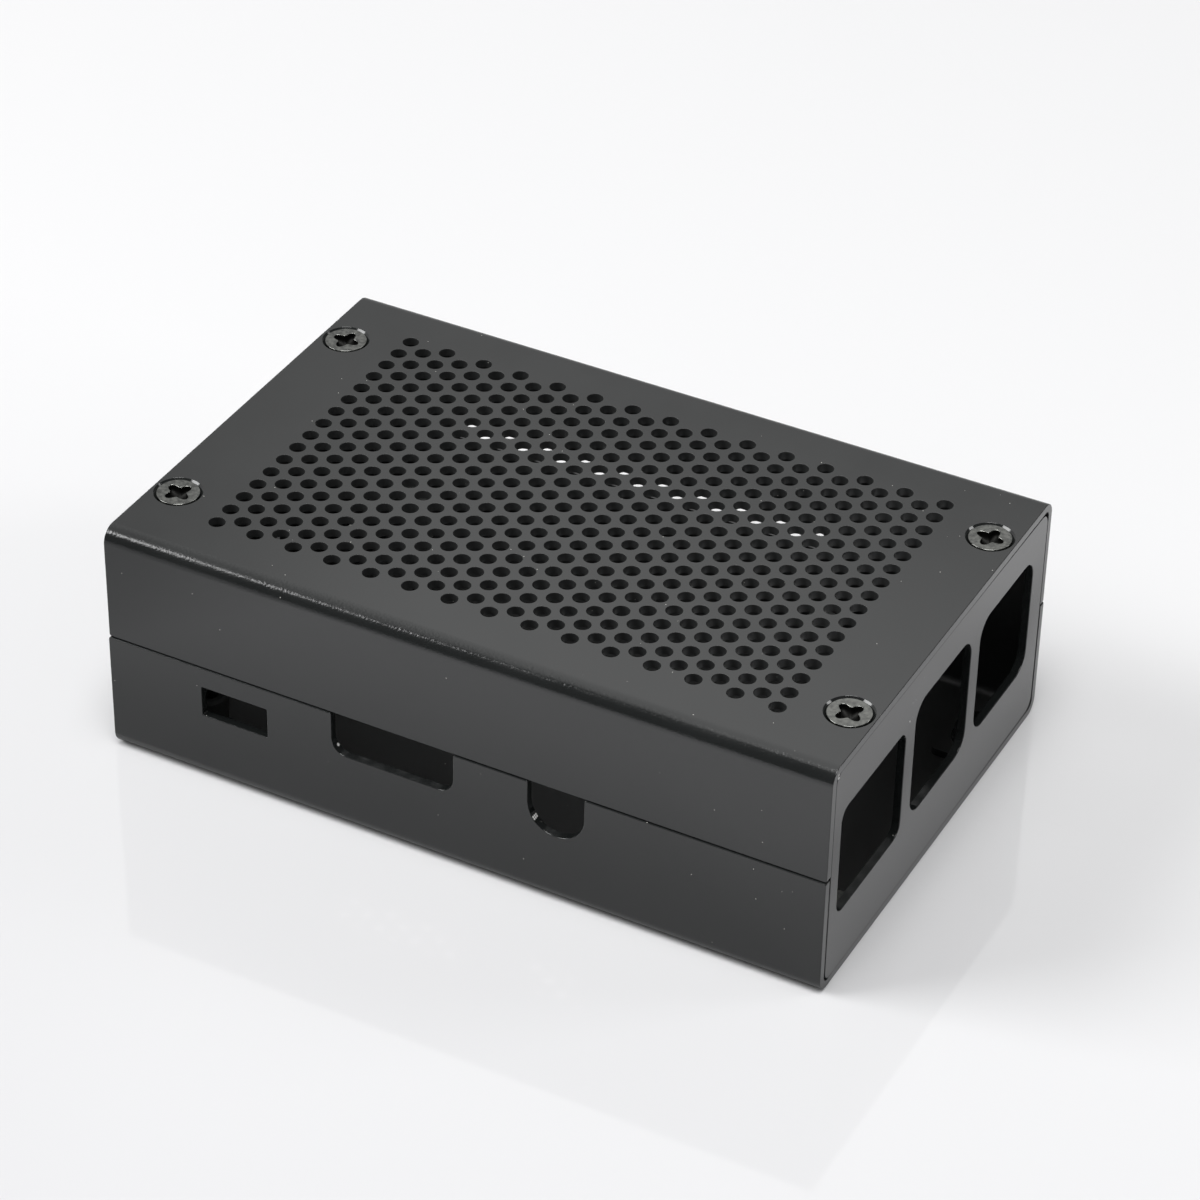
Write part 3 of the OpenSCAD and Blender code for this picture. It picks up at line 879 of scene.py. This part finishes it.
def white_gloss_floor():
    """White acrylic table top: near white, with a faint clear reflection, and painted shading that makes it
    a little paler towards the back. What the case mirrors of it carries painted shade before the case's
    foot, to the left and beside the port end."""
    material, tree, output, at = new_material("white_acrylic_table")
    place = add_node(tree, "ShaderNodeSeparateXYZ", {"Vector": at})
    x, y = place.outputs["X"], place.outputs["Y"]
    # Painted shading: the table darker towards the front and paler towards the back
    back = add_node(tree, "ShaderNodeMapRange", {
        "Value": y, "From Min": TABLE_TONE_FROM * MM, "From Max": TABLE_TONE_TO * MM})
    tone = add_node(tree, "ShaderNodeMix", {
        "Factor": back.outputs["Result"], "A": linear("#e3e3e5"), "B": linear("#f6f6f7")},
        data_type="RGBA")
    ramps = []
    for value, start, end, low, high, curve in (
            (y, -SIDE_Y - FOOT_SHADE_REACH, -SIDE_Y, 0.0, FOOT_SHADE, "SMOOTHSTEP"),
            (y, -SIDE_Y, -SIDE_Y + FOOT_SHADE_END, FOOT_SHADE, 0.0, "LINEAR"),
            (x, LEFT_SHADE_FROM, LEFT_SHADE_TO, 0.0, LEFT_SHADE, "SMOOTHSTEP"),
            (x, END_SHADE_FROM, END_SHADE_PEAK, 0.0, END_SHADE, "SMOOTHSTEP"),
            (x, END_SHADE_PEAK, END_SHADE_TO, END_SHADE, 0.0, "SMOOTHSTEP")):
        ramp = add_node(tree, "ShaderNodeMapRange", {
            "Value": value, "From Min": start * MM, "From Max": end * MM, "To Min": low, "To Max": high},
            interpolation_type=curve)
        ramps.append(ramp.outputs["Result"])
    nearing, passed, left, rising, falling = ramps
    before = add_node(tree, "ShaderNodeMath", {0: nearing, 1: passed}, operation="MINIMUM")
    beside = add_node(tree, "ShaderNodeMath", {0: rising, 1: falling}, operation="MINIMUM")
    ahead = add_node(tree, "ShaderNodeMath", {0: before.outputs[0], 1: left}, operation="MAXIMUM")
    painted_shade = add_node(tree, "ShaderNodeMath", {
        0: ahead.outputs[0], 1: beside.outputs[0]}, operation="MAXIMUM")
    # Painted shade on the table, seen only by glossy rays
    mirrored = add_node(tree, "ShaderNodeLightPath").outputs["Is Glossy Ray"]
    share = add_node(tree, "ShaderNodeMath", {0: painted_shade.outputs[0], 1: mirrored}, operation="MULTIPLY")
    seen = add_node(tree, "ShaderNodeMix", {
        "Factor": share.outputs[0], "A": tone.outputs["Result"], "B": linear("#000000")},
        data_type="RGBA")
    shader = add_node(tree, "ShaderNodeBsdfPrincipled", {
        "Base Color": seen.outputs["Result"], "Roughness": ACRYLIC_ROUGHNESS, "IOR": ACRYLIC_IOR})
    tree.links.new(shader.outputs["BSDF"], output.inputs["Surface"])
    return material


# Stage, light and camera

FLOOR_HALF = 3.0
TENT_GLOW = 0.2
TENT_WALL = 1.0
# Edges of the tent as seen from the case: the way past the edge, its softness, and the level beyond it
TENT_EDGES = [((0, 1, -1.316), 0.03, 0.52), ((-1, -0.27, -0.44), 0.04, 0.5),
              ((0, -1, -0.38), 0.06, 0.1), ((1, 0, -0.35), 0.06, 0.1)]


def floor():
    """A wide flat table top at the height of the underside."""
    mesh = bpy.data.meshes.new("table_top")
    corners = rectangle(-FLOOR_HALF, FLOOR_HALF, -FLOOR_HALF, FLOOR_HALF)
    mesh.from_pydata([(x, y, 0) for x, y in corners], [], [(0, 1, 2, 3)])
    mesh.materials.append(white_gloss_floor())
    made = bpy.data.objects.new("table_top", mesh)
    bpy.context.scene.collection.objects.link(made)


def studio_world():
    """A white tent about the table: what it sheds is even and low, and what glossy surfaces see of it is
    a bright ceiling, dimmer walls at the back and left, and the dark room in front and to the right."""
    world = bpy.data.worlds.new("studio")
    bpy.context.scene.world = world
    world.use_nodes = True
    tree = world.node_tree
    tree.nodes.clear()
    output = add_node(tree, "ShaderNodeOutputWorld")
    direction = add_node(tree, "ShaderNodeTexCoord").outputs["Generated"]
    level = TENT_WALL
    for edge, soft, beyond in TENT_EDGES:
        side = add_node(tree, "ShaderNodeVectorMath", {0: direction, 1: Vector(edge).normalized()},
                        operation="DOT_PRODUCT")
        share = add_node(tree, "ShaderNodeMapRange", {
            "Value": side.outputs["Value"], "From Min": -soft, "From Max": soft},
            interpolation_type="SMOOTHSTEP")
        mixed = add_node(tree, "ShaderNodeMix", {
            "Factor": share.outputs["Result"], "A": level, "B": beyond}, data_type="FLOAT")
        level = mixed.outputs["Result"]
    rays = add_node(tree, "ShaderNodeLightPath")
    seen = add_node(tree, "ShaderNodeMix", {
        "Factor": rays.outputs["Is Glossy Ray"], "A": TENT_GLOW, "B": level}, data_type="FLOAT")
    shown = add_node(tree, "ShaderNodeMix", {
        "Factor": rays.outputs["Is Camera Ray"], "A": seen.outputs["Result"], "B": 1.0},
        data_type="FLOAT")
    background = add_node(tree, "ShaderNodeBackground", {
        "Color": linear("#ffffff"), "Strength": shown.outputs["Result"]})
    tree.links.new(background.outputs["Background"], output.inputs["Surface"])


def softbox(name, place, side, watts):
    """A square light that looks from its place at the origin; place and side are in metres."""
    light = bpy.data.lights.new(name, "AREA")
    light.shape = "SQUARE"
    light.size = side
    light.energy = watts
    made = bpy.data.objects.new(name, light)
    made.location = place
    made.rotation_euler = (-Vector(place)).to_track_quat("-Z", "Y").to_euler()
    bpy.context.scene.collection.objects.link(made)


# Camera, found from the photograph's edges
CAMERA_LENS = 124.766
SENSOR = 36.0
CAMERA_AIM = Vector((2.70, -0.25, 20.09)) * MM
CAMERA_DISTANCE = 493.0 * MM
CAMERA_AZIMUTH = math.radians(27.332)
CAMERA_ELEVATION = math.radians(35.853)
CAMERA_ROLL = math.radians(1.162)
CLIP_NEAR, CLIP_FAR = 0.01, 20.0


def camera():
    """Looks at its aim from an azimuth, to the right of the front, and an elevation, turned by its roll."""
    back = Vector((math.sin(CAMERA_AZIMUTH) * math.cos(CAMERA_ELEVATION),
                   -math.cos(CAMERA_AZIMUTH) * math.cos(CAMERA_ELEVATION), math.sin(CAMERA_ELEVATION)))
    level = Vector((math.cos(CAMERA_AZIMUTH), math.sin(CAMERA_AZIMUTH), 0))
    right = Matrix.Rotation(CAMERA_ROLL, 3, back) @ level
    up = back.cross(right)
    lens = bpy.data.cameras.new("camera")
    lens.lens, lens.sensor_width, lens.sensor_fit = CAMERA_LENS, SENSOR, "HORIZONTAL"
    lens.clip_start, lens.clip_end = CLIP_NEAR, CLIP_FAR
    made = bpy.data.objects.new("camera", lens)
    turned = Matrix((right, up, back)).transposed().to_4x4()
    made.matrix_world = Matrix.Translation(CAMERA_AIM + back * CAMERA_DISTANCE) @ turned
    bpy.context.scene.collection.objects.link(made)
    bpy.context.scene.camera = made


camera()
floor()
studio_world()
softbox("left_softbox", (-1.26, -0.67, 1.10), 0.9, 17.2)
softbox("overhead_softbox", (0.16, -0.40, 1.95), 0.9, 24)
softbox("back_softbox", (1.30, 0.90, 0.85), 0.5, 3.4)

anodised = black_anodised_aluminium()
top_cover(anodised)
bottom_tray(anodised)
end_plates(anodised)
case_screws(dark_zinc_steel())
standoffs(black_oxide_steel())

bpy.context.scene.view_settings.view_transform = "Standard"
